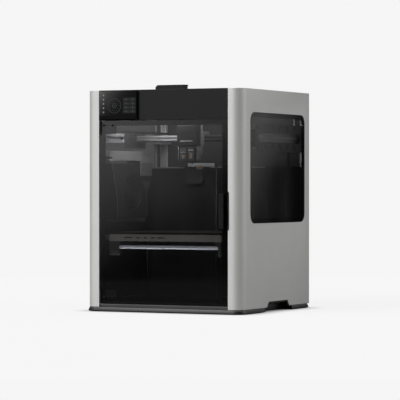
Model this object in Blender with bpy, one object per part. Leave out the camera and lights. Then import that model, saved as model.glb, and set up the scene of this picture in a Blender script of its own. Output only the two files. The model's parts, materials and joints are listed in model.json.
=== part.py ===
"""Enclosed desktop FDM printer: a box frame with a glass door, a lift-off top cover, a tilting
touchscreen, a belt-driven gantry with a two-nozzle toolhead, and a bed on three lead screws.

Metres, +Z up. X runs to the right, Y to the back. The origin is on the floor, under the middle."""

from math import cos, pi, radians, sin

import bmesh
import bpy
from mathutils import Matrix, Vector

# Outer body
PANEL_X = 0.2455        # outer face of a side panel
FRONT_Y = -0.245        # front face of the pillars, header and door
PANEL_BACK_Y = 0.218
TOP_Z = 0.6265
WALL = 0.006            # side panel thickness
PILLAR_X = 0.2028       # inner edge of a front pillar
PILLAR_BACK_Y = -0.213
PILLAR_RADIUS = 0.030
REAR_POST_X = 0.2175
REAR_POST_Y = 0.206
GAP = 0.0003            # gap between pieces that touch

# Base
FOOT_HEIGHT = 0.0017
BASE_FLARE = 0.003
BASE_EDGE_Z = 0.0040
BASE_TOP_Z = 0.0126
PAN_TOP_Z = 0.0226
LIFT_TOP_Z = 0.029      # top of the hand-lift notch
LIFT_TOP_Y = (-0.067, 0.060)
LIFT_FOOT_Y = (-0.095, 0.087)

# Side windows
WINDOW_Y = (-0.189, 0.180)
WINDOW_Z = (0.251, 0.561)
WINDOW_RADIUS = 0.025
WINDOW_LEDGE = 0.010
PANE = 0.0036

# Front: door, header and screen
DOOR_Z = (0.0235, 0.5400)
DOOR_GLASS = 0.005
HINGE_X = -0.1980
HINGE_Y = -0.2425
HINGE_HEIGHT = 0.041
HINGE_NOTCH = 0.0078
HANDLE_X = (0.1798, 0.1948)
HANDLE_STEM_X = (0.1810, 0.1860)
HANDLE_Z = (0.237, 0.335)
HANDLE_FRONT_Y = -0.257
FRAME_Y = (-0.2375, -0.2295)    # frame that the door closes on
HEADER_Z = 0.5405
SCREEN_X = (-0.1995, -0.0775)
SCREEN_Z = (0.5430, 0.6258)
SCREEN_Y = (-0.2535, -0.2455)
SCREEN_PIVOT = (-0.249, 0.6235)

# Chamber
LID_Y = (-0.2125, 0.2055)
INNER_X = 0.2390        # half width between the side panels
BACK_WALL_Y = 0.112
LEDGE_Z = 0.412
CHUTE_X = (-0.103, -0.046)
CHUTE_Z = (0.362, 0.405)
REAR_COVER_BACK_Y = 0.257

# Motion system
RAIL_X = (0.202, 0.222)
RAIL_Z = (0.480, 0.507)
RAIL_FLANGE = 0.0095
BELT_X = 0.212
BELT_Z = (0.5095, 0.5155)
PULLEY_RADIUS = 0.0064
MOTOR_Y = 0.181
MOTOR_SIZE = 0.042
MOTOR_Z = (0.5517, 0.5997)
CARRIAGE_X = (0.186, 0.2013)
CARRIAGE_Y = (-0.098, 0.006)
BEAM_Y = (-0.050, -0.028)
BEAM_Z = (0.482, 0.502)
TOOL_X = 0.0130         # centre of the toolhead at rest
TOOL_HALF = 0.031
SLIDER_HALF = 0.022     # half width of the block that runs on the beam
HOTEND_PITCH = 0.024
NOZZLE_Z = 0.419
CHAIN_X = (0.2255, 0.2355)
CHAIN_BEND_Y = -0.100
CHAIN_MID_Z = 0.492
CHAIN_RADII = (0.019, 0.034)

# Bed and its drive
BED_X = (-0.1795, 0.174)
BED_Y = (-0.2285, 0.090)
BED_Z = (0.203, 0.219)
PLATE_TOP_Z = 0.2254
SCREW_PLACES = ((-0.214, -0.200), (0.214, -0.200), (0.0, 0.0985))
ROD_PLACES = ((-0.2299, 0.0985), (0.2299, 0.0985))
SCREW_ARM_X = 0.2235     # how far out the bed's arms reach
ROD_ARM_X = 0.2375
SCREW_RADIUS = 0.004
ROD_RADIUS = 0.005

# Fans
AUX_FAN = (-0.065, 0.335)       # Y and Z of the auxiliary fan's axis
EXHAUST_FAN = (0.100, 0.500)    # X and Z of the exhaust fan's axis


def material(name, colour, roughness, metallic=0.0, alpha=1.0):
    made = bpy.data.materials.new(name)
    made.use_nodes = True
    shader = made.node_tree.nodes["Principled BSDF"]
    shader.inputs["Base Color"].default_value = (*colour, 1.0)
    shader.inputs["Roughness"].default_value = roughness
    shader.inputs["Metallic"].default_value = metallic
    shader.inputs["Alpha"].default_value = alpha
    return made


def place(axis, along, a, b):
    """A point from its distance along an axis and its two other coordinates, in X, Y, Z order."""
    if axis == "X":
        return (along, a, b)
    if axis == "Y":
        return (a, along, b)
    return (a, b, along)


def solid(name, mesh_edit, finish):
    """Turns an edited mesh into an object with outward faces and smooth round stretches."""
    bmesh.ops.recalc_face_normals(mesh_edit, faces=mesh_edit.faces)
    mesh = bpy.data.meshes.new(name)
    mesh_edit.to_mesh(mesh)
    mesh_edit.free()
    mesh.shade_smooth()
    mesh.set_sharp_from_angle(angle=radians(35))
    mesh.materials.append(finish)
    made = bpy.data.objects.new(name, mesh)
    bpy.context.collection.objects.link(made)
    return made


def loft(name, loops, finish):
    """Joins loops of the same number of points into a skin, closed at the first and last loop."""
    edit = bmesh.new()
    rings = [[edit.verts.new(point) for point in loop] for loop in loops]
    count = len(rings[0])
    for low, high in zip(rings, rings[1:]):
        for i in range(count):
            edit.faces.new((low[i], low[(i + 1) % count], high[(i + 1) % count], high[i]))
    edit.faces.new(rings[0])
    edit.faces.new(rings[-1])
    return solid(name, edit, finish)


def prism(name, outline, axis, low, high, finish):
    """Extrudes an outline along an axis."""
    loops = [[place(axis, along, a, b) for a, b in outline] for along in (low, high)]
    return loft(name, loops, finish)


def ring_prism(name, outer, inner, axis, low, high, finish):
    """Extrudes the band between two outlines that have the same number of points."""
    edit = bmesh.new()
    loops = []
    for outline in (outer, inner):
        for along in (low, high):
            loops.append([edit.verts.new(place(axis, along, a, b)) for a, b in outline])
    outer_low, outer_high, inner_low, inner_high = loops
    count = len(outer)
    for first, second in ((outer_low, outer_high), (outer_high, inner_high),
                          (inner_high, inner_low), (inner_low, outer_low)):
        for i in range(count):
            j = (i + 1) % count
            edit.faces.new((first[i], first[j], second[j], second[i]))
    return solid(name, edit, finish)


def box(name, x, y, z, finish):
    outline = [(x[0], y[0]), (x[1], y[0]), (x[1], y[1]), (x[0], y[1])]
    return prism(name, outline, "Z", z[0], z[1], finish)


def rounded(a, b, radius, steps=4):
    """A rectangle's outline with round corners."""
    points = []
    corners = ((a[1], b[1], 0), (a[0], b[1], 90), (a[0], b[0], 180), (a[1], b[0], 270))
    for corner_a, corner_b, start in corners:
        centre_a = corner_a - radius * (1 if start in (0, 270) else -1)
        centre_b = corner_b - radius * (1 if start in (0, 90) else -1)
        for step in range(steps + 1):
            angle = radians(start + 90 * step / steps)
            points.append((centre_a + radius * cos(angle), centre_b + radius * sin(angle)))
    return points


def circle(centre, radius, steps):
    turns = [2 * pi * step / steps for step in range(steps)]
    return [(centre[0] + radius * cos(turn), centre[1] + radius * sin(turn)) for turn in turns]


def turned(name, centre, axis, profile, finish, steps=16):
    """A round piece from (distance along the axis, radius) pairs."""
    loops = []
    for along, radius in profile:
        loops.append([place(axis, along, a, b) for a, b in circle(centre, radius, steps)])
    return loft(name, loops, finish)


def combine(target, operation, other):
    """Adds a Boolean of a hidden guide object to the target."""
    other.hide_render = True
    other.display_type = "WIRE"
    change = target.modifiers.new(other.name, "BOOLEAN")
    change.operation = operation
    change.solver = "EXACT"
    change.object = other


def cut(target, other):
    combine(target, "DIFFERENCE", other)


def join(target, other):
    combine(target, "UNION", other)


def pivot_at(piece, point):
    """Puts a moving piece's origin on its joint's axis."""
    piece.data.transform(Matrix.Translation(-Vector(point)))
    piece.location = point


def both(pair, side):
    """A left or right span from the right one's, in rising order."""
    return tuple(sorted((pair[0] * side, pair[1] * side)))


# ---------------------------------------------------------------- outer body

def base_plinth(paint):
    def loop(z, inset):
        x = PANEL_X + BASE_FLARE - inset
        y = (FRONT_Y - BASE_FLARE + inset, PANEL_BACK_Y + 0.0067 - inset)
        outline = rounded((-x, x), y, PILLAR_RADIUS, 5)
        return [(a, b, z) for a, b in outline]

    bottom_z = FOOT_HEIGHT + GAP
    piece = loft("base_plinth", [loop(bottom_z, 0), loop(BASE_EDGE_Z, 0), loop(BASE_TOP_Z, 0.003)], paint)
    for side in (-1, 1):
        x = both((PANEL_X - 0.030, PANEL_X + 0.010), side)
        cut(piece, box(f"base_notch_{side}", x, LIFT_FOOT_Y, (0, BASE_TOP_Z + 0.01), paint))


def feet(rubber):
    places = ((-0.19, -0.20), (0.19, -0.20), (-0.19, 0.17), (0.19, 0.17))
    for number, centre in enumerate(places, 1):
        turned(f"foot_{number}", centre, "Z", ((0, 0.013), (FOOT_HEIGHT, 0.015)), rubber)


def floor_pan(plastic):
    low = BASE_TOP_Z + GAP
    front = PILLAR_X - GAP
    inner_y = PILLAR_BACK_Y + GAP
    outline = [(-front, -0.2405), (front, -0.2405), (front, inner_y), (INNER_X, inner_y),
               (INNER_X, LID_Y[1]), (-INNER_X, LID_Y[1]), (-INNER_X, inner_y), (-front, inner_y)]
    piece = prism("floor_pan", outline, "Z", low, PAN_TOP_Z, plastic)
    pocket_y = (-0.094, 0.086)
    for side in (-1, 1):
        cover = box(f"grip_cover_{side}", both((0.205, INNER_X), side), pocket_y,
                    (PAN_TOP_Z - 0.002, 0.034), plastic)
        join(piece, cover)
        hollow = box(f"grip_hollow_{side}", both((0.211, INNER_X + 0.01), side),
                     (-0.090, 0.082), (0, 0.0305), plastic)
        cut(piece, hollow)


def side_panel(name, side, paint):
    """A wall with a round front pillar, a rear corner post, a window and a hand-lift notch."""
    radius = PILLAR_RADIUS
    outline = [(PILLAR_X, PILLAR_BACK_Y), (PILLAR_X, FRONT_Y)]
    for step in range(8):
        angle = radians(-90 + 90 * step / 7)
        outline.append((PANEL_X - radius + radius * cos(angle), FRONT_Y + radius + radius * sin(angle)))
    rear = 0.008
    for step in range(4):
        angle = radians(90 * step / 3)
        outline.append((PANEL_X - rear + rear * cos(angle), PANEL_BACK_Y - rear + rear * sin(angle)))
    outline += [(REAR_POST_X, PANEL_BACK_Y), (REAR_POST_X, REAR_POST_Y),
                (PANEL_X - WALL, REAR_POST_Y), (PANEL_X - WALL, PILLAR_BACK_Y)]
    outline = [(x * side, y) for x, y in outline]
    piece = prism(name, outline, "Z", BASE_TOP_Z + GAP, TOP_Z, paint)

    seat = PANEL_X - PANE - 2 * GAP
    opening = rounded(WINDOW_Y, WINDOW_Z, WINDOW_RADIUS)
    x = both((seat, PANEL_X + 0.01), side)
    cut(piece, prism(f"{name}_window", opening, "X", x[0], x[1], paint))
    ledge = WINDOW_LEDGE
    inner = rounded((WINDOW_Y[0] + ledge, WINDOW_Y[1] - ledge), (WINDOW_Z[0] + ledge, WINDOW_Z[1] - ledge),
                    WINDOW_RADIUS - ledge)
    x = both((PANEL_X - 0.02, PANEL_X), side)
    cut(piece, prism(f"{name}_window_back", inner, "X", x[0], x[1], paint))

    notch = [(LIFT_FOOT_Y[0] + 0.004, 0), (LIFT_FOOT_Y[1] - 0.004, 0),
             (LIFT_TOP_Y[1], LIFT_TOP_Z), (LIFT_TOP_Y[0], LIFT_TOP_Z)]
    cut(piece, prism(f"{name}_lift", notch, "X", x[0], x[1] + 0.02, paint) if side > 0 else
        prism(f"{name}_lift", notch, "X", x[0] - 0.02, x[1], paint))
    if side > 0:
        grip_z = (HANDLE_Z[0] - 0.004, HANDLE_Z[1] + 0.004)
        cut(piece, box("finger_notch", (PILLAR_X - 0.01, PILLAR_X + 0.0035), (FRONT_Y - 0.01, -0.238),
                       grip_z, paint))


def side_window(name, side, glass):
    outline = rounded((WINDOW_Y[0] + GAP, WINDOW_Y[1] - GAP), (WINDOW_Z[0] + GAP, WINDOW_Z[1] - GAP),
                      WINDOW_RADIUS - GAP)
    x = both((PANEL_X - PANE - GAP, PANEL_X - GAP), side)
    prism(name, outline, "X", x[0], x[1], glass)


def front_header(plastic):
    """An L-shaped panel: the black front plate and the shelf behind its top edge."""
    outline = [(FRONT_Y, HEADER_Z), (-0.2345, HEADER_Z), (-0.2345, 0.613),
               (PILLAR_BACK_Y, 0.613), (PILLAR_BACK_Y, TOP_Z), (FRONT_Y, TOP_Z)]
    half = PILLAR_X - GAP
    prism("front_header", outline, "X", -half, half, plastic)


def chamber_front_frame(plastic):
    """The frame that the door closes on, with the two fixed hinge barrels."""
    half = PILLAR_X - GAP
    outer = rounded((-half, half), (0.0232, 0.5400), 0.003, 2)
    inner = rounded((-0.190, 0.188), (0.036, 0.530), 0.006, 2)
    piece = ring_prism("chamber_front_frame", outer, inner, "Y", FRAME_Y[0], FRAME_Y[1], plastic)
    for end, z in (("top", DOOR_Z[1] - HINGE_HEIGHT), ("bottom", DOOR_Z[0] + 0.001)):
        z_high = z + HINGE_HEIGHT - 0.001
        barrel = turned(f"barrel_{end}", (HINGE_X, HINGE_Y), "Z", ((z, 0.0024), (z_high, 0.0024)), plastic)
        web = box(f"barrel_web_{end}", (HINGE_X - 0.0012, HINGE_X + 0.0012),
                  (HINGE_Y, FRAME_Y[0] + 0.002), (z, z_high), plastic)
        join(piece, barrel)
        join(piece, web)


def top_frame(plastic):
    outer = rounded((-INNER_X, INNER_X), LID_Y, 0.003, 2)
    inner = rounded((-0.198, 0.198), (-0.185, 0.152), 0.012, 2)
    ring_prism("top_frame", outer, inner, "Z", 0.600, 0.6127, plastic)


def rear_panel(plastic):
    """The back, with vent slots for the exhaust fan and a mouth for the waste chute."""
    half = REAR_POST_X - GAP
    piece = box("rear_panel", (-half, half), (REAR_POST_Y + 0.0005, PANEL_BACK_Y),
                (BASE_TOP_Z + GAP, TOP_Z), plastic)
    for number in range(7):
        z = EXHAUST_FAN[1] - 0.030 + 0.010 * number
        slot = box(f"vent_{number}", (EXHAUST_FAN[0] - 0.038, EXHAUST_FAN[0] + 0.038),
                   (REAR_POST_Y - 0.01, PANEL_BACK_Y + 0.01), (z - 0.0018, z + 0.0018), plastic)
        cut(piece, slot)
    cut(piece, chute_hole("rear_chute_hole"))


def chute_hole(name):
    x = (CHUTE_X[0] - GAP, CHUTE_X[1] + GAP)
    z = (CHUTE_Z[0] - GAP, CHUTE_Z[1] + GAP)
    return prism(name, [(x[0], z[0]), (x[1], z[0]), (x[1], z[1]), (x[0], z[1])], "Y", 0.10, 0.24,
                 bpy.data.materials[0])


def rear_cover(plastic):
    """The cover over the power supply and the boards, with seats for the inlet and the switch."""
    outline = rounded((-0.200, 0.200), (0.050, 0.355), 0.015, 3)
    inner_y = PANEL_BACK_Y + GAP
    piece = prism("rear_cover", outline, "Y", inner_y, REAR_COVER_BACK_Y, plastic)
    cut(piece, box("inlet_seat", (-0.1753, -0.1447), (0.235, 0.27), (0.0697, 0.0953), plastic))
    cut(piece, box("switch_seat", (-0.1343, -0.1107), (0.243, 0.27), (0.0747, 0.0903), plastic))


def power_inlet(plastic):
    outer = rounded((-0.175, -0.145), (0.070, 0.095), 0.002, 2)
    piece = prism("power_inlet", outer, "Y", 0.2353, REAR_COVER_BACK_Y, plastic)
    hollow = prism("inlet_hollow", rounded((-0.172, -0.148), (0.0745, 0.0905), 0.003, 2), "Y", 0.240, 0.27,
                   plastic)
    cut(piece, hollow)
    for number, x in enumerate((-0.167, -0.160, -0.153)):
        pin = box(f"inlet_pin_{number}", (x - 0.001, x + 0.001), (0.239, 0.252), (0.080, 0.085), plastic)
        join(piece, pin)


def power_switch(plastic):
    """A rocker: its face is two flats that meet at a shallow angle over the pivot."""
    middle_z = 0.0825
    outline = [(0.2445, middle_z - 0.0045), (0.2445, middle_z + 0.0045), (0.2525, middle_z + 0.0065),
               (0.2560, middle_z + 0.0065), (0.2545, middle_z), (0.2560, middle_z - 0.0065),
               (0.2525, middle_z - 0.0065)]
    piece = prism("power_switch", outline, "X", -0.1335, -0.1115, plastic)
    pivot_at(piece, (-0.1225, 0.2495, middle_z))


# ------------------------------------------------------------ door and covers

def door(glass, plastic, metal):
    left = HINGE_X - 0.0038
    right = PILLAR_X - 2 * GAP
    notch_x = left + HINGE_NOTCH
    notch_z = HINGE_HEIGHT + 0.0005
    outline = [(notch_x, DOOR_Z[0]), (right, DOOR_Z[0]), (right, DOOR_Z[1]), (notch_x, DOOR_Z[1]),
               (notch_x, DOOR_Z[1] - notch_z), (left, DOOR_Z[1] - notch_z),
               (left, DOOR_Z[0] + notch_z), (notch_x, DOOR_Z[0] + notch_z)]
    pane = prism("door_glass", outline, "Y", FRONT_Y, FRONT_Y + DOOR_GLASS, glass)
    pivot = (HINGE_X, HINGE_Y, 0)
    pivot_at(pane, pivot)

    back_y = FRONT_Y - GAP
    stem = HANDLE_STEM_X
    grip = [(stem[0], back_y), (stem[0], -0.2535), (HANDLE_X[0], -0.2550), (HANDLE_X[0] + 0.001, HANDLE_FRONT_Y),
            (HANDLE_X[1] - 0.001, HANDLE_FRONT_Y), (HANDLE_X[1], -0.2545), (HANDLE_X[1], -0.2530),
            (stem[1], -0.2530), (stem[1], back_y)]
    handle = prism("door_handle", grip, "Z", HANDLE_Z[0], HANDLE_Z[1], plastic)
    pivot_at(handle, pivot)

    leaf_y = FRONT_Y + DOOR_GLASS + GAP
    for end, z in (("top", DOOR_Z[1] - HINGE_HEIGHT + 0.004), ("bottom", DOOR_Z[0] + 0.004)):
        outline = rounded((-0.1938, -0.150), (z, z + 0.033), 0.004, 3)
        leaf = prism(f"door_hinge_{end}", outline, "Y", leaf_y, leaf_y + 0.0016, metal)
        pivot_at(leaf, pivot)


def top_cover(plastic, glass):
    """The lift-off cover: a frame, its glass, and the raised camera housing at the front."""
    half = INNER_X - GAP
    y = (LID_Y[0] + GAP, LID_Y[1] - GAP)
    outer = rounded((-half, half), y, 0.003, 2)
    opening_x = 0.190
    opening_y = (-0.162, 0.165)
    inner = rounded((-opening_x, opening_x), opening_y, 0.012, 2)
    ring_prism("top_cover_frame", outer, inner, "Z", 0.613, 0.6262, plastic)
    pane = rounded((-opening_x + GAP, opening_x - GAP), (opening_y[0] + GAP, opening_y[1] - GAP),
                   0.012 - GAP, 2)
    prism("top_glass", pane, "Z", 0.6212, 0.6260, glass)
    hump_top = 0.6410
    outline = [(-0.0522, 0.6265), (0.0390, 0.6265), (0.0390, 0.6375), (0.0409, 0.6385),
               (0.0409, hump_top), (-0.0462, hump_top), (-0.0522, 0.6355)]
    prism("camera_housing", outline, "Y", -0.189, -0.1655, plastic)


def touchscreen(plastic, glass):
    """The housing's upper rear edge is cut back so that it can tilt against the header."""
    front, back = SCREEN_Y
    low, high = SCREEN_Z
    pivot = (0, *SCREEN_PIVOT)
    outline = [(front + 0.0010, low), (back, low), (back, high - 0.007), (back - 0.0030, high),
               (front + 0.0010, high)]
    housing = prism("screen_housing", outline, "X", SCREEN_X[0], SCREEN_X[1], plastic)
    pivot_at(housing, pivot)
    face = rounded((SCREEN_X[0] + 0.0008, SCREEN_X[1] - 0.0008), (low + 0.0008, high - 0.0008), 0.003, 3)
    pane = prism("screen_glass", face, "Y", front - 0.0002, front + 0.0010 - GAP, glass)
    pivot_at(pane, pivot)


# -------------------------------------------------------------------- chamber

def chamber_back_wall(plastic):
    """The lower back wall and the ledge on top of it, open where the waste chute passes."""
    sheet = 0.004
    outline = [(BACK_WALL_Y, PAN_TOP_Z + GAP), (BACK_WALL_Y + sheet, PAN_TOP_Z + GAP),
               (BACK_WALL_Y + sheet, LEDGE_Z - sheet), (LID_Y[1], LEDGE_Z - sheet),
               (LID_Y[1], LEDGE_Z), (BACK_WALL_Y, LEDGE_Z)]
    piece = prism("chamber_back_wall", outline, "X", -INNER_X, INNER_X, plastic)
    for number in range(5):
        x = 0.160 + 0.012 * number
        rib = box(f"rib_{number}", (x - 0.0015, x + 0.0015), (BACK_WALL_Y - 0.002, BACK_WALL_Y + 0.002),
                  (0.26, 0.40), plastic)
        join(piece, rib)
    lip = box("purge_lip", (CHUTE_X[0] - 0.008, CHUTE_X[1] + 0.024), (0.1310, 0.1345),
              (LEDGE_Z - 0.001, LEDGE_Z + 0.012), plastic)
    join(piece, lip)
    cut(piece, chute_hole("wall_chute_hole"))
    drop = box("chute_drop", (CHUTE_X[0] + 0.006, CHUTE_X[1] - 0.006), (BACK_WALL_Y - 0.01, 0.130),
               (0.40, 0.42), plastic)
    cut(piece, drop)


def purge_chute(plastic):
    """A box channel to the back: waste falls in from above and leaves at the rear."""
    low, high = CHUTE_Z
    end = rounded(CHUTE_X, CHUTE_Z, 0.012, 3)
    square = [(CHUTE_X[0], high - 0.02), (CHUTE_X[1], high - 0.02), (CHUTE_X[1], high), (CHUTE_X[0], high)]
    piece = prism("purge_chute", end, "Y", 0.0985, REAR_COVER_BACK_Y, plastic)
    join(piece, prism("chute_shoulder", square, "Y", 0.0985, REAR_COVER_BACK_Y, plastic))
    wall = 0.0025
    inside = rounded((CHUTE_X[0] + wall, CHUTE_X[1] - wall), (low + wall, high - wall), 0.010, 3)
    cut(piece, prism("chute_hollow", inside, "Y", 0.0985 + wall, 0.27, plastic))
    cut(piece, box("chute_mouth", (CHUTE_X[0] + 0.006, CHUTE_X[1] - 0.006), (0.0985 + wall, 0.129),
                   (high - 0.01, high + 0.01), plastic))


def nozzle_wiper(brass):
    """The wiping block, standing on the chute's front wall."""
    low = CHUTE_Z[1] + GAP
    outline = [(0.0985, low), (0.1050, low), (0.1050, 0.4150), (0.1020, 0.4160), (0.0985, 0.4130)]
    prism("nozzle_wiper", outline, "X", -0.0680, -0.0485, brass)


def aux_fan(plastic, light, rotor_plastic):
    """On the left wall: a dark fan housing with a light duct on top, and the fan's rotor."""
    wall_x = -INNER_X
    face_x = -0.192
    outline = [(-0.1925, 0.4215), (-0.159, 0.324), (-0.159, 0.262), (0.0255, 0.262), (0.0255, 0.347),
               (0.048, 0.3675), (0.048, 0.3847), (-0.0165, 0.3847), (-0.0165, 0.4215)]
    housing = prism("aux_fan_housing", outline, "X", wall_x, face_x, plastic)
    well = prism("aux_fan_well", circle(AUX_FAN, 0.053, 28), "X", -0.2240, -0.18, plastic)
    cut(housing, well)

    duct = [(-0.196, 0.4565), (-0.210, 0.4400), (-0.192, 0.4370), (-0.192, 0.4330), (-0.210, 0.4300),
            (-0.206, 0.4230), (-0.185, 0.4270), (-0.0160, 0.4286), (-0.0160, 0.3852), (0.053, 0.3852),
            (0.053, 0.4225), (0.0590, 0.4225), (0.0597, 0.4350), (0.0400, 0.4570)]
    prism("aux_duct", duct, "X", wall_x, face_x + 0.002, light)

    blades = []
    for blade in range(9):
        start = 2 * pi * blade / 9
        for turn, radius in ((0.0, 0.022), (0.10, 0.050), (0.28, 0.050), (0.42, 0.022)):
            blades.append((AUX_FAN[0] + radius * cos(start + turn), AUX_FAN[1] + radius * sin(start + turn)))
    rotor = prism("aux_fan_rotor", blades, "X", -0.2230, -0.200, rotor_plastic)
    pivot_at(rotor, (-0.21, *AUX_FAN))


def exhaust_fan(plastic):
    blades = []
    for blade in range(7):
        start = 2 * pi * blade / 7
        for turn, radius in ((0.0, 0.014), (0.12, 0.036), (0.52, 0.036), (0.62, 0.014)):
            blades.append((EXHAUST_FAN[0] + radius * cos(start + turn),
                           EXHAUST_FAN[1] + radius * sin(start + turn)))
    rotor = prism("exhaust_fan_rotor", blades, "Y", 0.194, 0.2045, plastic)
    pivot_at(rotor, (EXHAUST_FAN[0], 0.2, EXHAUST_FAN[1]))


def cable_guard(plastic):
    outer = rounded((-0.146, 0.192), (0.452, 0.532), 0.030, 5)
    inner = rounded((-0.122, 0.168), (0.478, 0.506), 0.0139, 5)
    ring_prism("cable_guard", outer, inner, "X", INNER_X - 0.0020, INNER_X, plastic)


# ------------------------------------------------------------- motion system

def y_rail(name, side, metal):
    """A channel rail with two flanges towards the chamber, and the belt's front post."""
    x = RAIL_X
    z = RAIL_Z
    groove_z = (z[0] + RAIL_FLANGE, z[1] - RAIL_FLANGE)
    groove_x = x[1] - 0.004
    outline = [(x[0], z[0]), (x[1], z[0]), (x[1], z[1]), (x[0], z[1]), (x[0], groove_z[1]),
               (groove_x, groove_z[1]), (groove_x, groove_z[0]), (x[0], groove_z[0])]
    outline = [(a * side, b) for a, b in outline]
    piece = prism(name, outline, "Y", -0.205, 0.203, metal)
    post = turned(f"{name}_post", (BELT_X * side, -0.190), "Z",
                  ((z[1] - 0.002, PULLEY_RADIUS - 0.0005), (BELT_Z[1] + 0.0005, PULLEY_RADIUS - 0.0005)), metal)
    join(piece, post)


def drive_belt(name, side, rubber):
    """A toothed belt loop round the motor pulley and the front post."""
    def track(radius):
        points = []
        for centre_y, start in ((MOTOR_Y, 0), (-0.190, 180)):
            for step in range(9):
                angle = radians(start + 180 * step / 8)
                points.append((BELT_X * side + radius * cos(angle), centre_y + radius * sin(angle)))
        return points

    inner = PULLEY_RADIUS + 0.0005
    ring_prism(name, track(inner + 0.0014), track(inner), "Z", BELT_Z[0], BELT_Z[1], rubber)


def xy_motor(name, side, metal):
    half = MOTOR_SIZE / 2
    centre = BELT_X * side
    outline = rounded((centre - half, centre + half), (MOTOR_Y - half, MOTOR_Y + half), 0.004, 2)
    prism(name, outline, "Z", MOTOR_Z[0], MOTOR_Z[1], metal)


def motor_pulley(name, side, metal):
    flange = PULLEY_RADIUS + 0.0014
    profile = ((RAIL_Z[1] + 0.0005, flange), (BELT_Z[0] - GAP, flange), (BELT_Z[0] - 0.0002, PULLEY_RADIUS),
               (BELT_Z[1] + 0.0002, PULLEY_RADIUS), (BELT_Z[1] + GAP, flange), (0.5175, flange),
               (0.5178, 0.0040), (0.526, 0.0040), (0.5262, 0.0025), (MOTOR_Z[0] - GAP, 0.0025))
    centre = (BELT_X * side, MOTOR_Y)
    piece = turned(name, centre, "Z", profile, metal)
    pivot_at(piece, (*centre, 0.5125))


def carriage(name, side, plastic):
    """A block that runs on the rail. The right one has an arm for the cable chain."""
    z = (0.465, 0.5065)
    piece = box(name, both(CARRIAGE_X, side), CARRIAGE_Y, z, plastic)
    shoe = box(f"{name}_shoe", both((CARRIAGE_X[1] - 0.002, RAIL_X[1] - 0.005), side),
               (CARRIAGE_Y[0] + 0.010, CARRIAGE_Y[1] - 0.010), (RAIL_Z[0] + RAIL_FLANGE + 0.0005, RAIL_Z[1] - RAIL_FLANGE - 0.0005), plastic)
    join(piece, shoe)
    if side > 0:
        y = (-0.048, -0.036)
        join(piece, box("chain_arm_post", (0.188, 0.199), y, (0.500, 0.526), plastic))
        join(piece, box("chain_arm", (0.195, CHAIN_X[1]), y, (0.518, 0.526), plastic))


def x_beam(metal):
    outline = rounded(BEAM_Y, BEAM_Z, 0.003, 2)
    half = CARRIAGE_X[0] - GAP
    prism("x_beam", outline, "X", -half, half, metal)


def y_cable_chain(plastic):
    """A chain in a U: fixed low at the back, bent at the front, and tied to the right carriage."""
    inner, outer = CHAIN_RADII
    bend = [radians(90 + 180 * step / 10) for step in range(11)]

    def arc(radius, angles):
        return [(CHAIN_BEND_Y + radius * cos(a), CHAIN_MID_Z + radius * sin(a)) for a in angles]

    outline = [(-0.0483, CHAIN_MID_Z + outer)] + arc(outer, bend) + [(0.190, CHAIN_MID_Z - outer)]
    outline += [(0.190, CHAIN_MID_Z - inner)] + arc(inner, bend[::-1]) + [(-0.0483, CHAIN_MID_Z + inner)]
    prism("y_cable_chain", outline, "X", CHAIN_X[0], CHAIN_X[1], plastic)


# ------------------------------------------------------------------- toolhead

def toolhead(dark, cover_plastic, metal):
    left = TOOL_X - TOOL_HALF
    right = TOOL_X + TOOL_HALF
    slider_x = (TOOL_X - SLIDER_HALF, TOOL_X + SLIDER_HALF)
    body = box("toolhead_body", (left, right), (-0.0950, -0.0800), (0.445, 0.535), dark)
    join(body, box("slider", slider_x, (-0.0810, -0.0505), (0.472, 0.512), dark))
    join(body, box("beam_bridge", slider_x, (-0.0515, -0.0200), (BEAM_Z[1] + 0.0005, 0.512), dark))
    join(body, box("beam_keeper", slider_x, (-0.0275, -0.0200), (BEAM_Z[0], BEAM_Z[1] + 0.006), dark))

    face = [(-0.0953, 0.4685), (-0.1190, 0.4685), (-0.1220, 0.4720), (-0.1220, 0.5280),
            (-0.1120, 0.5380), (-0.0953, 0.5380)]
    prism("toolhead_cover", face, "X", left - 0.001, right + 0.001, cover_plastic)

    for name, centre in (("hotend_left", TOOL_X - HOTEND_PITCH / 2), ("hotend_right", TOOL_X + HOTEND_PITCH / 2)):
        block = box(name, (centre - 0.0105, centre + 0.0105), (-0.1180, -0.0953), (0.4285, 0.4650), metal)
        heater = box(f"{name}_heater", (centre - 0.007, centre + 0.007), (-0.1150, -0.0985),
                     (0.4225, 0.4300), metal)
        nozzle = turned(f"{name}_nozzle", (centre, -0.107), "Z",
                        ((NOZZLE_Z, 0.0009), (0.4215, 0.0034), (0.4240, 0.0034)), metal, 12)
        join(block, heater)
        join(block, nozzle)


def cutter_lever(plastic):
    """The plunger on the toolhead's left side that works the filament cutter."""
    x = TOOL_X - TOOL_HALF
    box("cutter_lever", (x - 0.0100, x - 0.0053), (-0.0850, -0.0720), (0.4600, 0.4760), plastic)


# ------------------------------------------------------------------------ bed

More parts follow.
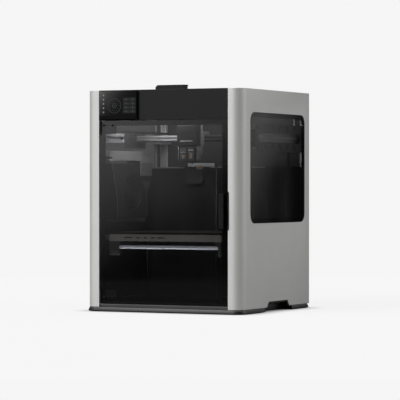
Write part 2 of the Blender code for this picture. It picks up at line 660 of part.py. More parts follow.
def bed_frame(metal):
    """The carrier: a front beam with end brackets, a plate, and arms to the screws and rods."""
    x, y, z = BED_X, BED_Y, BED_Z
    arm = 0.011
    outline = [(x[0], y[0] + 0.0145)]
    for reach, middle in ((SCREW_ARM_X, SCREW_PLACES[0][1]), (ROD_ARM_X, ROD_PLACES[0][1])):
        low = middle - arm
        high = middle + arm
        outline += [(x[0], low), (-reach, low), (-reach, high), (x[0], high)]
    rear_y = ROD_PLACES[0][1] + arm
    outline[-1] = (-0.150, rear_y)
    outline += [(-0.150, y[1]), (-0.014, y[1]), (-0.014, rear_y)]
    right = [(-px, py) for px, py in outline[::-1]]
    plate_x = 0.1745
    right = [(plate_x if abs(px + x[0]) < 1e-9 else px, py) for px, py in right]
    piece = prism("bed_frame", outline + right, "Z", z[0], z[1] - 0.003, metal)

    beam = [(x[0], z[1]), (x[0], 0.160), (-0.149, 0.160), (-0.149, 0.191), (-0.143, 0.191), (-0.143, 0.200),
            (0.154, 0.200), (0.154, 0.191), (0.164, 0.191), (0.164, 0.160), (x[1], 0.160), (x[1], z[1])]
    join(piece, prism("bed_beam", beam, "Y", y[0], y[0] + 0.0155, metal))
    join(piece, box("bed_deck", (x[0], x[1]), (y[0] + 0.010, y[1]), (z[1] - 0.004, z[1]), metal))
    cut(piece, box("bed_window", (-0.140, 0.135), (-0.175, 0.062), (z[0] - 0.01, z[1] - 0.0035), metal))
    holes = [(place_, SCREW_RADIUS + 0.0004) for place_ in SCREW_PLACES]
    holes += [(place_, ROD_RADIUS + 0.0004) for place_ in ROD_PLACES]
    for number, (centre, radius) in enumerate(holes):
        hole = turned(f"bed_hole_{number}", centre, "Z", ((z[0] - 0.01, radius), (z[1] + 0.01, radius)), metal)
        cut(piece, hole)


def bed_plates(heater, steel, chrome):
    x = (BED_X[0] + 0.001, BED_X[1] - 0.001)
    y = (BED_Y[0] + 0.001, 0.086)
    low = BED_Z[1] + GAP
    prism("heatbed", rounded(x, y, 0.004, 2), "Z", low, low + 0.0032, heater)
    prism("build_plate", rounded(x, y, 0.004, 2), "Z", low + 0.0032 + GAP, PLATE_TOP_Z, steel)
    turned("bed_front_bar", (-0.2220, 0.1833), "X", ((-0.1487, 0.0052), (0.1637, 0.0052)), chrome, 12)


def lead_screws(metal):
    names = ("lead_screw_left", "lead_screw_right", "lead_screw_rear")
    for name, centre in zip(names, SCREW_PLACES):
        low = PAN_TOP_Z + GAP
        piece = turned(name, centre, "Z", ((low, SCREW_RADIUS), (LEDGE_Z - 0.002, SCREW_RADIUS)), metal)
        pivot_at(piece, (*centre, 0.2))


def guide_rods(metal):
    for name, centre in zip(("guide_rod_left", "guide_rod_right"), ROD_PLACES):
        low = PAN_TOP_Z + GAP
        turned(name, centre, "Z", ((low, ROD_RADIUS), (0.4500, ROD_RADIUS)), metal)


def build():
    for old in list(bpy.data.objects):
        bpy.data.objects.remove(old, do_unlink=True)

    silver = material("silver_paint", (0.52, 0.52, 0.50), 0.45, 0.35)
    black = material("black_plastic", (0.015, 0.015, 0.016), 0.35)
    dark = material("dark_plastic", (0.04, 0.04, 0.042), 0.5)
    light = material("light_plastic", (0.30, 0.30, 0.31), 0.5)
    grey = material("grey_metal", (0.42, 0.42, 0.43), 0.4, 0.8)
    steel = material("bright_steel", (0.70, 0.72, 0.76), 0.25, 1.0)
    spring_steel = material("textured_steel", (0.28, 0.25, 0.20), 0.7, 0.6)
    rubber = material("rubber", (0.02, 0.02, 0.02), 0.8)
    tinted = material("tinted_glass", (0.02, 0.02, 0.022), 0.05, 0.0, 0.6)
    brass = material("brass", (0.72, 0.42, 0.16), 0.35, 0.9)

    base_plinth(silver)
    feet(rubber)
    floor_pan(dark)
    side_panel("side_panel_left", -1, silver)
    side_panel("side_panel_right", 1, silver)
    side_window("side_window_left", -1, tinted)
    side_window("side_window_right", 1, tinted)
    front_header(black)
    chamber_front_frame(black)
    top_frame(black)
    rear_panel(silver)
    rear_cover(dark)
    power_inlet(black)
    power_switch(black)

    door(tinted, dark, dark)
    top_cover(black, tinted)
    touchscreen(black, tinted)

    chamber_back_wall(dark)
    purge_chute(dark)
    nozzle_wiper(brass)
    aux_fan(dark, light, black)
    exhaust_fan(black)
    cable_guard(dark)

    y_rail("y_rail_left", -1, grey)
    y_rail("y_rail_right", 1, grey)
    drive_belt("drive_belt_left", -1, rubber)
    drive_belt("drive_belt_right", 1, rubber)
    xy_motor("xy_motor_left", -1, dark)
    xy_motor("xy_motor_right", 1, dark)
    motor_pulley("motor_pulley_left", -1, grey)
    motor_pulley("motor_pulley_right", 1, grey)
    carriage("gantry_carriage_left", -1, dark)
    carriage("gantry_carriage_right", 1, dark)
    x_beam(grey)
    y_cable_chain(dark)

    toolhead(dark, black, grey)
    cutter_lever(dark)

    bed_frame(grey)
    bed_plates(dark, spring_steel, steel)
    lead_screws(steel)
    guide_rods(steel)


build()
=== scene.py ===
"""The looks of an enclosed desktop FDM printer: bevelled shells over the CAD solids, finer pieces,
procedural finishes, the studio and the camera. Metres; sizes come from the CAD frame."""

import json
from math import cos, pi, radians, sin

import bmesh
import bpy
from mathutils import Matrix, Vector

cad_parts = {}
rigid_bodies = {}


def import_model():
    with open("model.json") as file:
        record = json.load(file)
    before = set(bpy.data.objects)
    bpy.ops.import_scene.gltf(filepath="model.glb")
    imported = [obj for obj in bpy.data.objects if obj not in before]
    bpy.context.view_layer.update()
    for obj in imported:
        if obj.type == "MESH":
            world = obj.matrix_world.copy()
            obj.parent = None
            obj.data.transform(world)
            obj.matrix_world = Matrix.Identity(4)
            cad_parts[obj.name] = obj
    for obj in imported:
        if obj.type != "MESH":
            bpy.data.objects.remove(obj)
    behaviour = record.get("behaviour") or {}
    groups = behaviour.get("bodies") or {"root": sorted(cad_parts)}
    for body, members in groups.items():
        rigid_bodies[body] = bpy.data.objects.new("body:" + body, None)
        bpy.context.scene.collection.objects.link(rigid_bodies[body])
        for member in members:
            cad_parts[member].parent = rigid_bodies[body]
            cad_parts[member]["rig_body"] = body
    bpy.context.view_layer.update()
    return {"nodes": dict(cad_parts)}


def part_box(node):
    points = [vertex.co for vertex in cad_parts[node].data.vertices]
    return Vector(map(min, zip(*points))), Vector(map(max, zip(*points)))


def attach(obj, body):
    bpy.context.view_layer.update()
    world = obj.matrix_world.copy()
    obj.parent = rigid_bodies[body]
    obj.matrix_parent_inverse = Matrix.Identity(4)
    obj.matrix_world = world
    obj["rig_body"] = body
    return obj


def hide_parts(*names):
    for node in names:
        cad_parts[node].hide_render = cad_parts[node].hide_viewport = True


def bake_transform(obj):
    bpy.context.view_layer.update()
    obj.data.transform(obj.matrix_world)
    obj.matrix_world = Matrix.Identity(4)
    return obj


# Camera: azimuth is turned to the object's right, the pitch looks slightly down
CAMERA_PLACE = (3.0196, -6.0488, 0.3543)
CAMERA_AZIMUTH = 26.57
CAMERA_PITCH = 0.331
CAMERA_LENS = 210.4

FINE = 0.0006       # bevel of small parts
SIDES = (("left", -1), ("right", 1))

# Outer pieces
SILL_REACH = 0.2020
SILL_EDGE_Z = (0.0196, 0.0220)
# The grip sheets are painted light, lighter than the pan so the pockets look lit
GRIP_WALL_X = (0.2111, 0.2116)      # sheet on the inner wall of each hand grip
GRIP_WALL_Y = (-0.0880, 0.0800)
GRIP_WALL_Z = (0.0040, 0.0295)
FILM = (0.00005, 0.0002)            # faces of a film printed behind a pane
WINDOW_BORDER = 0.013
WINDOW_RADIUS = 0.0243
LINING_X = (0.2394, 0.2397)
LINING_Y = (-0.1960, 0.2000)
LINING_Z = (0.0240, 0.6000)
DOOR_VIEW_X = (-0.185, 0.183)       # clear part of the door, inside its printed border
DOOR_VIEW_Z = (0.040, 0.526)
HINGE_SCREW_X = (-0.187, -0.159)
HINGE_HEIGHTS = (("top", 0.527), ("bottom", 0.041))

# Touchscreen layout, X and Z
# Lower edge of the glow film on the screen, whose glow paints a reflection on its glass
SHEEN_FILM_LOW_Z = 0.5545
ICON_TOP = (-0.1840, 0.6120)
ICON_PITCH = 0.0120
DIAL = (-0.1490, 0.5820)
TILE_TOP = (-0.1215, 0.6045)        # upper left corner of the first tile
TILE_STEP = (0.0206, 0.0112)
TILE_SIZE = (0.0198, 0.0100)
STATUS_BAR = ((-0.1760, -0.1560), (0.6150, 0.6164))

# Chamber trims and painted highlights, as Y and Z ranges or points; the ledge highlights start with X
SLOT_PITCH = 0.0492
SLOT_WIDTH = 0.007
SLOT_LEAN = 0.014
# Painted highlights on the right rail, as Y and Z ranges
RAIL_HIGHLIGHTS = (((-0.0515, 0.0084), (0.5008, 0.5036)), ((0.0140, 0.1640), (0.4922, 0.4948)),
               ((-0.1160, -0.0560), (0.4935, 0.4990)))
LEDGE_HIGHLIGHTS = (("ledge_highlight_left", (-0.2280, -0.1120), (0.1100, 0.1118), (0.4080, 0.4119)),
               ("ledge_highlight_right", (-0.0280, 0.1500), (0.1100, 0.1118), (0.4090, 0.4119)),
               ("tray_highlight", (-0.1100, -0.0230), (0.1298, 0.1308), (0.4130, 0.4232)))
# Painted highlights on the fan housing, as Y and Z points and ranges
FUNNEL_HIGHLIGHT = ((-0.0060, 0.3700), (0.0470, 0.3690), (0.0270, 0.3430), (0.0215, 0.3430))
HOUSING_RIB_HIGHLIGHT = ((0.0225, 0.0250), (0.2640, 0.3430))
HOUSING_EDGE_HIGHLIGHT = ((-0.1922, 0.4210), (-0.1589, 0.3240), (-0.1589, 0.2625))
GRILLE_RADII = (0.012, 0.021, 0.030, 0.039, 0.048)

# Cable chain: radii of its bend, the pitch of its links and where its upper run ends on the gantry
CHAIN_INNER = 0.019
CHAIN_OUTER = 0.034
LINK_PITCH = 0.0115
CHAIN_END_Y = -0.049

# Toolhead and bed
IDLER_Z = 0.4925
TRIM_Z = (0.4828, 0.4846)
LAMP_Z = 0.5190
VENT_Z = 0.4930
VENT_PITCH = 0.0042
POST_Y = (-0.1150, -0.0955)
POST_Z = (0.4300, 0.4680)
POST_SCREW_Z = 0.4635
FIN_TOP_Z = 0.4590
FIN_PITCH = 0.0034
HOTENDS = (("hotend_left", "toolhead", 0.4505), ("hotend_right", "lifting_hotend", 0.4560))
CONTACT_LOW_Z = 0.4340
BEAM_SLOTS = ((-0.130, 0.024), (-0.092, 0.009), (-0.068, 0.009), (-0.045, 0.010), (-0.024, 0.022))
BEAM_SLOT_Z = (0.2085, 0.2110)
BEAM_TOOTH_X = -0.120
BEAM_TOOTH_PITCH = 0.034
BEAM_TOOTH_Z = (0.1965, 0.2001)

# Studio: the light panels and their slanted edges, the suns, the lamps, the backdrop and the floor
PANEL_LIGHT = 1.30
PANEL_EDGE = (-0.502, 0.261, 0.824)     # towards the front panel, square to its slanted lower edge
SIDE_LIGHT = 0.82
SIDE_EDGE = (0.830, -0.382, 0.406)
TOP_LIGHT = 0.8
FILL_LIGHT = 0.012
KEY_POWER = 2.25
SIDE_POWER = 0.52
LAMP_POWER = 2.0        # inside the chamber, front left
FAR_LAMP_POWER = 0.6    # inside the chamber, top right
BAR_LAMP_POWER = 0.15
GUARD_LAMP_POWER = 0.022    # between the right window and the guard behind it
BACKDROP = 0.92
FLOOR_COLOUR = 0.06
FLOOR_GLOW = 0.84
FLOOR_RADIUS = 2.5
CONTACT_SHADE = 0.06    # reach of the soft shade on the floor round the printer


# ------------------------------------------------------------------ materials

def new_material(name):
    made = bpy.data.materials.new(name)
    made.use_nodes = True
    tree = made.node_tree
    return made, tree, tree.nodes["Principled BSDF"]


def noise(tree, coordinates, scale, detail=3.0, stretch=(1, 1, 1)):
    """Noise over the piece's own coordinates. Stretch above 1 makes finer grain along that axis."""
    mapping = tree.nodes.new("ShaderNodeMapping")
    mapping.inputs["Scale"].default_value = stretch
    texture = tree.nodes.new("ShaderNodeTexNoise")
    texture.inputs["Scale"].default_value = scale
    texture.inputs["Detail"].default_value = detail
    tree.links.new(coordinates, mapping.inputs["Vector"])
    tree.links.new(mapping.outputs["Vector"], texture.inputs["Vector"])
    return texture.outputs["Fac"]


def ramp(tree, value, low, high, start=0.3, end=0.7):
    """Maps a value to a colour between two colours."""
    node = tree.nodes.new("ShaderNodeValToRGB")
    node.color_ramp.elements[0].position = start
    node.color_ramp.elements[0].color = (*low, 1)
    node.color_ramp.elements[1].position = end
    node.color_ramp.elements[1].color = (*high, 1)
    tree.links.new(value, node.inputs["Fac"])
    return node.outputs["Color"]


def spread(tree, value, low, high):
    node = tree.nodes.new("ShaderNodeMapRange")
    node.inputs["From Min"].default_value = 0.3
    node.inputs["From Max"].default_value = 0.7
    node.inputs["To Min"].default_value = low
    node.inputs["To Max"].default_value = high
    tree.links.new(value, node.inputs["Value"])
    return node.outputs["Result"]


def fade(tree, value, start, end, result):
    """Rises from 0 to the result as the value goes from start to end."""
    node = tree.nodes.new("ShaderNodeMapRange")
    node.inputs["From Min"].default_value = start
    node.inputs["From Max"].default_value = end
    node.inputs["To Max"].default_value = result
    tree.links.new(value, node.inputs["Value"])
    return node.outputs["Result"]


def combine(tree, operation, first, second):
    """Joins two values, each a socket or a plain number, by a math operation."""
    node = tree.nodes.new("ShaderNodeMath")
    node.operation = operation
    for number, value in enumerate((first, second)):
        if isinstance(value, float):
            node.inputs[number].default_value = value
        else:
            tree.links.new(value, node.inputs[number])
    return node.outputs["Value"]


def bump(tree, shader, height, strength, distance):
    node = tree.nodes.new("ShaderNodeBump")
    node.inputs["Strength"].default_value = strength
    node.inputs["Distance"].default_value = distance
    tree.links.new(height, node.inputs["Height"])
    tree.links.new(node.outputs["Normal"], shader.inputs["Normal"])


def finish(name, colour, vary, roughness, metallic=0.0, grain=900.0, relief=0.15, stretch=(1, 1, 1),
           specular=0.5, patch=14.0):
    """A finish with slow colour patches, uneven gloss and a fine surface grain."""
    made, tree, shader = new_material(name)
    coordinates = tree.nodes.new("ShaderNodeTexCoord").outputs["Object"]
    patches = noise(tree, coordinates, patch, 4.0)
    low = tuple(c * (1 - vary) for c in colour)
    high = tuple(min(1.0, c * (1 + vary)) for c in colour)
    tree.links.new(ramp(tree, patches, low, high), shader.inputs["Base Color"])
    fine = noise(tree, coordinates, grain, 2.0, stretch)
    tree.links.new(spread(tree, fine, roughness * 0.85, min(1.0, roughness * 1.15)),
                   shader.inputs["Roughness"])
    bump(tree, shader, fine, relief, 0.0002)
    shader.inputs["Metallic"].default_value = metallic
    shader.inputs["Specular IOR Level"].default_value = specular
    return made


def tinted_glass(name, colour, alpha, specular):
    """Dark see-through glass with faint smears in its gloss."""
    made, tree, shader = new_material(name)
    coordinates = tree.nodes.new("ShaderNodeTexCoord").outputs["Object"]
    smears = noise(tree, coordinates, 9.0, 5.0, (1, 1, 0.4))
    tree.links.new(spread(tree, smears, 0.03, 0.09), shader.inputs["Roughness"])
    tree.links.new(ramp(tree, smears, colour, tuple(c * 1.3 for c in colour)), shader.inputs["Base Color"])
    shader.inputs["Alpha"].default_value = alpha
    shader.inputs["Specular IOR Level"].default_value = specular
    made.surface_render_method = "BLENDED"
    return made


def glow(name, colour, strength):
    """A lit mark on the screen, with the fine unevenness of lit cells behind glass."""
    made, tree, shader = new_material(name)
    coordinates = tree.nodes.new("ShaderNodeTexCoord").outputs["Object"]
    cells = noise(tree, coordinates, 1500.0, 0.0)
    dim = tuple(c * 0.75 for c in colour)
    tree.links.new(ramp(tree, cells, dim, colour), shader.inputs["Emission Color"])
    shader.inputs["Emission Strength"].default_value = strength
    shader.inputs["Base Color"].default_value = (0.006, 0.006, 0.006, 1)
    shader.inputs["Roughness"].default_value = 0.3
    shader.inputs["Specular IOR Level"].default_value = 0.05
    return made


def threaded_steel():
    """Steel with a fine thread: a saw wave along the screw gives the relief, and its colour ramp paints shade
    into the low part of each turn.
    """
    made, tree, shader = new_material("threaded_steel")
    coordinates = tree.nodes.new("ShaderNodeTexCoord").outputs["Object"]
    wave = tree.nodes.new("ShaderNodeTexWave")
    wave.bands_direction = "Z"
    wave.inputs["Scale"].default_value = 80.0
    wave.inputs["Distortion"].default_value = 0.0
    tree.links.new(coordinates, wave.inputs["Vector"])
    tree.links.new(ramp(tree, wave.outputs["Fac"], (0.03, 0.03, 0.033), (0.14, 0.143, 0.146), 0.1, 0.9),
                   shader.inputs["Base Color"])
    bump(tree, shader, wave.outputs["Fac"], 0.8, 0.0006)
    shader.inputs["Metallic"].default_value = 0.9
    shader.inputs["Roughness"].default_value = 0.35
    return made


def darker_below(made, height, blend, colour):
    """Turns a finish dark under a height. On the base plinth the dark rim is painted shade where it meets the
    floor; on the duct and the bed frame it only makes them darker towards the bottom.
    """
    tree = made.node_tree
    shader = tree.nodes["Principled BSDF"]
    place_at = tree.nodes.new("ShaderNodeTexCoord").outputs["Object"]
    parts = tree.nodes.new("ShaderNodeSeparateXYZ")
    tree.links.new(place_at, parts.inputs["Vector"])
    mix = tree.nodes.new("ShaderNodeMix")
    mix.data_type = "RGBA"
    light_socket = shader.inputs["Base Color"].links[0].from_socket
    tree.links.new(fade(tree, parts.outputs["Z"], height, height + blend, 1.0), mix.inputs["Factor"])
    mix.inputs[6].default_value = (*colour, 1)
    tree.links.new(light_socket, mix.inputs[7])
    tree.links.new(mix.outputs[2], shader.inputs["Base Color"])
    return made


def speckled_plate():
    """Powder-coated spring steel: a dense golden-grey speckle with a rough relief."""
    made, tree, shader = new_material("speckled_plate")
    coordinates = tree.nodes.new("ShaderNodeTexCoord").outputs["Object"]
    specks = noise(tree, coordinates, 1800.0, 1.0)
    tree.links.new(ramp(tree, specks, (0.012, 0.011, 0.008), (0.045, 0.040, 0.026), 0.35, 0.65),
                   shader.inputs["Base Color"])
    bump(tree, shader, specks, 0.5, 0.0003)
    shader.inputs["Roughness"].default_value = 0.6
    shader.inputs["Metallic"].default_value = 0.3
    return made


def screen_painted_reflection():
    """The screen's glow that fades quickly from its upper left corner: painted reflection, an emission
    gradient standing in for the gloss of light on the screen glass.
    """
    made, tree, shader = new_material("screen_painted_reflection")
    place_at = tree.nodes.new("ShaderNodeTexCoord").outputs["Object"]
    along = tree.nodes.new("ShaderNodeVectorMath")
    along.operation = "DOT_PRODUCT"
    along.inputs[1].default_value = (-0.707, 0.0, 0.707)
    tree.links.new(place_at, along.inputs[0])
    falloff = combine(tree, "POWER", fade(tree, along.outputs["Value"], 0.481, 0.584, 1.0), 3.0)
    colour = ramp(tree, falloff, (0.0, 0.0, 0.0), (1.0, 1.0, 1.0), 0.0, 1.0)
    tree.links.new(colour, shader.inputs["Emission Color"])
    shader.inputs["Emission Strength"].default_value = 0.118
    shader.inputs["Base Color"].default_value = (0.004, 0.004, 0.004, 1)
    shader.inputs["Roughness"].default_value = 0.12
    shader.inputs["Specular IOR Level"].default_value = 0.05
    return made


def make_finishes():
    """Every finish by a short name. A finish takes its colour, its variation, roughness and metal, the
    fineness and depth of its grain, and how far the grain is stretched along each axis."""
    return {
        "silver": finish("silver_paint", (0.50, 0.50, 0.492), 0.02, 0.45, 0.35, 2200.0, 0.08),
        # The base's dark rim under 8.5 mm is painted shade at its foot
        "base": darker_below(finish("base_grey", (0.030, 0.030, 0.030), 0.06, 0.42, 0.0, 1400.0, 0.2,
                                    specular=0.25), 0.0085, 0.0006, (0.002, 0.002, 0.002)),
        "header": finish("header_black", (0.009, 0.009, 0.0093), 0.10, 0.45, 0.0, 2600.0, 0.04,
                         specular=0.13),
        "black": finish("satin_black", (0.006, 0.006, 0.0063), 0.15, 0.45, 0.0, 2000.0, 0.15,
                        specular=0.08),
        "dark": finish("dark_plastic", (0.030, 0.030, 0.031), 0.12, 0.50, 0.0, 1500.0, 0.2,
                       specular=0.4),
        "wall": finish("chamber_wall", (0.013, 0.013, 0.0134), 0.08, 0.55, 0.0, 1200.0, 0.2,
                       specular=0.3),
        # Grey plastic, also used for the painted light in the grip pockets and painted highlights under the
        # duct
        "grey": finish("grey_plastic_and_painted_light", (0.11, 0.11, 0.115), 0.08, 0.5, 0.0, 1500.0, 0.2),
        # Pale plastic, also used for the painted highlights on the ledge and the fan housing
        "light": finish("light_plastic", (0.40, 0.40, 0.41), 0.05, 0.55, 0.0, 1500.0, 0.15),
        "duct": darker_below(finish("duct_plastic", (0.40, 0.40, 0.41), 0.05, 0.55, 0.0, 1500.0, 0.15),
                             0.4235, 0.001, (0.22, 0.22, 0.225)),
        "ink": finish("printed_border", (0.0015, 0.0015, 0.0015), 0.2, 0.7, 0.0, 1200.0, 0.05,
                      specular=0.0),
        "aluminium": finish("anodised", (0.55, 0.55, 0.57), 0.05, 0.42, 0.5, 700.0, 0.15, (1, 0.02, 1)),
        "beam": finish("beam_metal", (0.105, 0.105, 0.109), 0.05, 0.42, 0.5, 700.0, 0.15, (0.02, 1, 1)),
        "bed_metal": darker_below(finish("bed_metal", (0.50, 0.49, 0.47), 0.06, 0.45, 0.3, 900.0, 0.15,
                                         (0.05, 1, 1)), 0.1985, 0.002, (0.06, 0.06, 0.06)),
        # Bright steel for the bed's front bar, also used for the painted highlights on the rail
        "steel": finish("bright_steel", (0.78, 0.81, 0.90), 0.01, 0.32, 0.2, 600.0, 0.01, (0.01, 1, 1)),
        "rod": finish("ground_rod", (0.10, 0.10, 0.104), 0.04, 0.22, 1.0, 700.0, 0.08, (1, 1, 0.01)),
        "screw": finish("screw_steel", (0.30, 0.30, 0.31), 0.06, 0.35, 0.9, 1500.0, 0.1),
        "brass": finish("brass", (0.62, 0.46, 0.33), 0.08, 0.40, 0.5, 900.0, 0.15),
        "rubber": finish("rubber", (0.012, 0.012, 0.012), 0.2, 0.8, 0.0, 1600.0, 0.4),
        "glass": tinted_glass("tinted_glass", (0.0015, 0.0015, 0.0017), 0.50, 1.0),
        "window": tinted_glass("window_glass", (0.0015, 0.0015, 0.0017), 0.60, 0.28),
        "screen": finish("screen_glass", (0.003, 0.003, 0.0035), 0.1, 0.12, 0.0, 300.0, 0.02,
                         specular=0.05),
        "painted_sheen": screen_painted_reflection(),
        "thread": threaded_steel(),
        "plate": speckled_plate(),
        "lit": glow("screen_mark", (0.75, 0.78, 0.80), 0.34),
        "soft": glow("screen_ring", (0.75, 0.78, 0.80), 0.11),
        "dim": glow("screen_tile", (0.55, 0.58, 0.60), 0.032),
    }


# ---------------------------------------------------------------- mesh pieces

def place(axis, along, a, b):
    """A point from its distance along an axis and its two other coordinates, in X, Y, Z order."""
    if axis == "X":
        return (along, a, b)
    if axis == "Y":
        return (a, along, b)
    return (a, b, along)


def put(name, edit, surface, body):
    """Makes a piece from an edited mesh and lets it ride on a body."""
    bmesh.ops.recalc_face_normals(edit, faces=edit.faces)
    mesh = bpy.data.meshes.new(name)
    edit.to_mesh(mesh)
    edit.free()
    mesh.shade_smooth()
    mesh.set_sharp_from_angle(angle=radians(35))
    mesh.materials.append(surface)
    made = bpy.data.objects.new(name, mesh)
    bpy.context.scene.collection.objects.link(made)
    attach(made, body)
    return made


def soften(piece, width, segments=2):
    """Rounds a piece's sharp edges."""
    change = piece.modifiers.new("edges", "BEVEL")
    change.width = width
    change.segments = segments
    change.limit_method = "ANGLE"
    change.angle_limit = radians(35)
    change.harden_normals = True
    return piece


def add_loft(edit, loops):
    """Skins a stack of outlines and closes both ends."""
    rings = [[edit.verts.new(point) for point in loop] for loop in loops]
    count = len(rings[0])
    for low, high in zip(rings, rings[1:]):
        for i in range(count):
            edit.faces.new((low[i], low[(i + 1) % count], high[(i + 1) % count], high[i]))
    edit.faces.new(rings[0])
    edit.faces.new(rings[-1])


def add_prism(edit, outline, axis, low, high):
    add_loft(edit, [[place(axis, along, a, b) for a, b in outline] for along in (low, high)])


def add_ring(edit, outer, inner, axis, low, high):
    """A flat ring between two outlines that have the same number of points."""
    loops = []
    for outline in (outer, inner):
        for along in (low, high):
            loops.append([edit.verts.new(place(axis, along, a, b)) for a, b in outline])
    outer_low, outer_high, inner_low, inner_high = loops
    count = len(outer)
    pairs = ((outer_low, outer_high), (outer_high, inner_high), (inner_high, inner_low),
             (inner_low, outer_low))
    for first, second in pairs:
        for i in range(count):
            j = (i + 1) % count
            edit.faces.new((first[i], first[j], second[j], second[i]))


def rounded(a, b, radius, steps=5):
    """A rectangle's outline with round corners."""
    points = []
    corners = ((a[1], b[1], 0), (a[0], b[1], 90), (a[0], b[0], 180), (a[1], b[0], 270))
    for corner_a, corner_b, start in corners:
        centre_a = corner_a - radius * (1 if start in (0, 270) else -1)
        centre_b = corner_b - radius * (1 if start in (0, 90) else -1)
        for step in range(steps + 1):
            angle = radians(start + 90 * step / steps)
            points.append((centre_a + radius * cos(angle), centre_b + radius * sin(angle)))
    return points


def inset(pair, margin):
    """A range made shorter by a margin at both ends."""
    return (pair[0] + margin, pair[1] - margin)


def circle(centre, radius, steps=32):
    turns = [2 * pi * step / steps for step in range(steps)]
    return [(centre[0] + radius * cos(turn), centre[1] + radius * sin(turn)) for turn in turns]


def add_turned(edit, centre, axis, profile, steps=32):
    """A round shape from (distance along the axis, radius) pairs."""
    add_loft(edit, [[place(axis, along, a, b) for a, b in circle(centre, radius, steps)]
                    for along, radius in profile])


def add_box(edit, x, y, z, radius=0.0):
    if radius:
        add_prism(edit, rounded(x, y, radius, 3), "Z", z[0], z[1])
    else:
        add_prism(edit, [(x[0], y[0]), (x[1], y[0]), (x[1], y[1]), (x[0], y[1])], "Z", z[0], z[1])


def shell(node, surface, width=FINE, segments=2):
    """A bevelled copy of a CAD node that stands in its place."""
    source = frame["nodes"][node]
    mesh = source.data.copy()
    edit = bmesh.new()
    edit.from_mesh(mesh)
    bmesh.ops.remove_doubles(edit, verts=edit.verts, dist=0.00001)
    bmesh.ops.dissolve_limit(edit, angle_limit=radians(1), verts=edit.verts, edges=edit.edges)
    bmesh.ops.recalc_face_normals(edit, faces=edit.faces)
    edit.to_mesh(mesh)
    edit.free()
    if "custom_normal" in mesh.attributes:
        mesh.attributes.remove(mesh.attributes["custom_normal"])
    mesh.shade_smooth()
    mesh.set_sharp_from_angle(angle=radians(35))
    mesh.materials.clear()
    mesh.materials.append(surface)
    piece = bpy.data.objects.new(node + "_shell", mesh)
    bpy.context.scene.collection.objects.link(piece)
    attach(piece, source["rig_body"])
    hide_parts(node)
    if width:
        soften(piece, width, segments)
    return piece


def repaint(node, surface):
    """Keeps a CAD node as it is, with a better finish."""
    mesh = frame["nodes"][node].data
    mesh.materials.clear()
    mesh.materials.append(surface)


def screw_head(edit, centre, axis, along, outward, radius=0.0028):
    """A low round head with a socket. Outward is 1 or -1 along the axis."""
    profile = ((along, radius), (along + outward * 0.0008, radius), (along + outward * 0.0013, radius * 0.8),
               (along + outward * 0.0013, radius * 0.45), (along + outward * 0.0005, radius * 0.4))
    add_turned(edit, centre, axis, profile, 18)


# --------------------------------------------------------------- outer pieces

def outer_body():
    for side in ("left", "right"):
        shell(f"side_panel_{side}", LOOK["silver"], 0.0012, 3)
    shell("base_plinth", LOOK["base"], 0.0005)
    shell("front_header", LOOK["header"], 0.0010, 3)
    shell("floor_pan", LOOK["dark"], 0.0008)
    shell("chamber_front_frame", LOOK["black"], 0.0008)
    shell("top_frame", LOOK["black"], 0.0008)
    shell("rear_panel", LOOK["wall"], 0.0006)
    shell("rear_cover", LOOK["dark"], 0.0025, 3)
    shell("power_inlet", LOOK["black"], 0.0003)
    shell("power_switch", LOOK["black"], 0.0005)
    for number in range(1, 5):
        shell(f"foot_{number}", LOOK["rubber"], 0.0005)


def door_sill():
    """The pan's face under the door, and a lighter edge along it."""
    low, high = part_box("floor_pan")
    x = (-SILL_REACH, SILL_REACH)
    edit = bmesh.new()
    add_box(edit, x, (low.y - 0.0004, low.y + 0.0004), (high.z - 0.0130, high.z - 0.0040))
    put("door_sill", edit, LOOK["black"], "printer_frame")
    edit = bmesh.new()
    add_box(edit, x, (low.y - 0.0008, low.y + 0.0004), SILL_EDGE_Z)
    put("sill_edge", edit, LOOK["grey"], "printer_frame")


def grip_painted_light_sheets():
    """A sheet on the inner wall of the hand grip at the foot of each side panel, a lighter grey than the pan:
    painted light in the shaded pocket.
    """
    outline = rounded(GRIP_WALL_Y, GRIP_WALL_Z, 0.0010, 3)
    for side, sign in SIDES:
        edit = bmesh.new()
        add_prism(edit, outline, "X", sign * GRIP_WALL_X[0], sign * GRIP_WALL_X[1])
        put(f"grip_painted_light_sheet_{side}", edit, LOOK["grey"], "printer_frame")


def side_windows():
    """Each pane has a printed border behind its rim."""
    for side, sign in SIDES:
        node = f"side_window_{side}"
        repaint(node, LOOK["window"])
        low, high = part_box(node)
        y = (low.y, high.y)
        z = (low.z, high.z)
        inner_face = low.x if sign > 0 else high.x
        outer = rounded(inset(y, 0.0004), inset(z, 0.0004), WINDOW_RADIUS, 8)
        inner = rounded(inset(y, WINDOW_BORDER), inset(z, WINDOW_BORDER), WINDOW_BORDER, 8)
        edit = bmesh.new()
        add_ring(edit, outer, inner, "X", inner_face - sign * FILM[0], inner_face - sign * FILM[1])
        put(f"window_border_{side}", edit, LOOK["ink"], "printer_frame")


def side_linings():
    """The dark lining of each side panel's inner face, open at the window."""
    margin = 0.0006
    outer = rounded(LINING_Y, LINING_Z, 0.0040, 8)
    for side, sign in SIDES:
        low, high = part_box(f"side_window_{side}")
        inner = rounded(inset((low.y, high.y), -margin), inset((low.z, high.z), -margin), 0.0245, 8)
        edit = bmesh.new()
        add_ring(edit, outer, inner, "X", sign * LINING_X[0], sign * LINING_X[1])
        put(f"side_lining_{side}", edit, LOOK["wall"], "printer_frame")


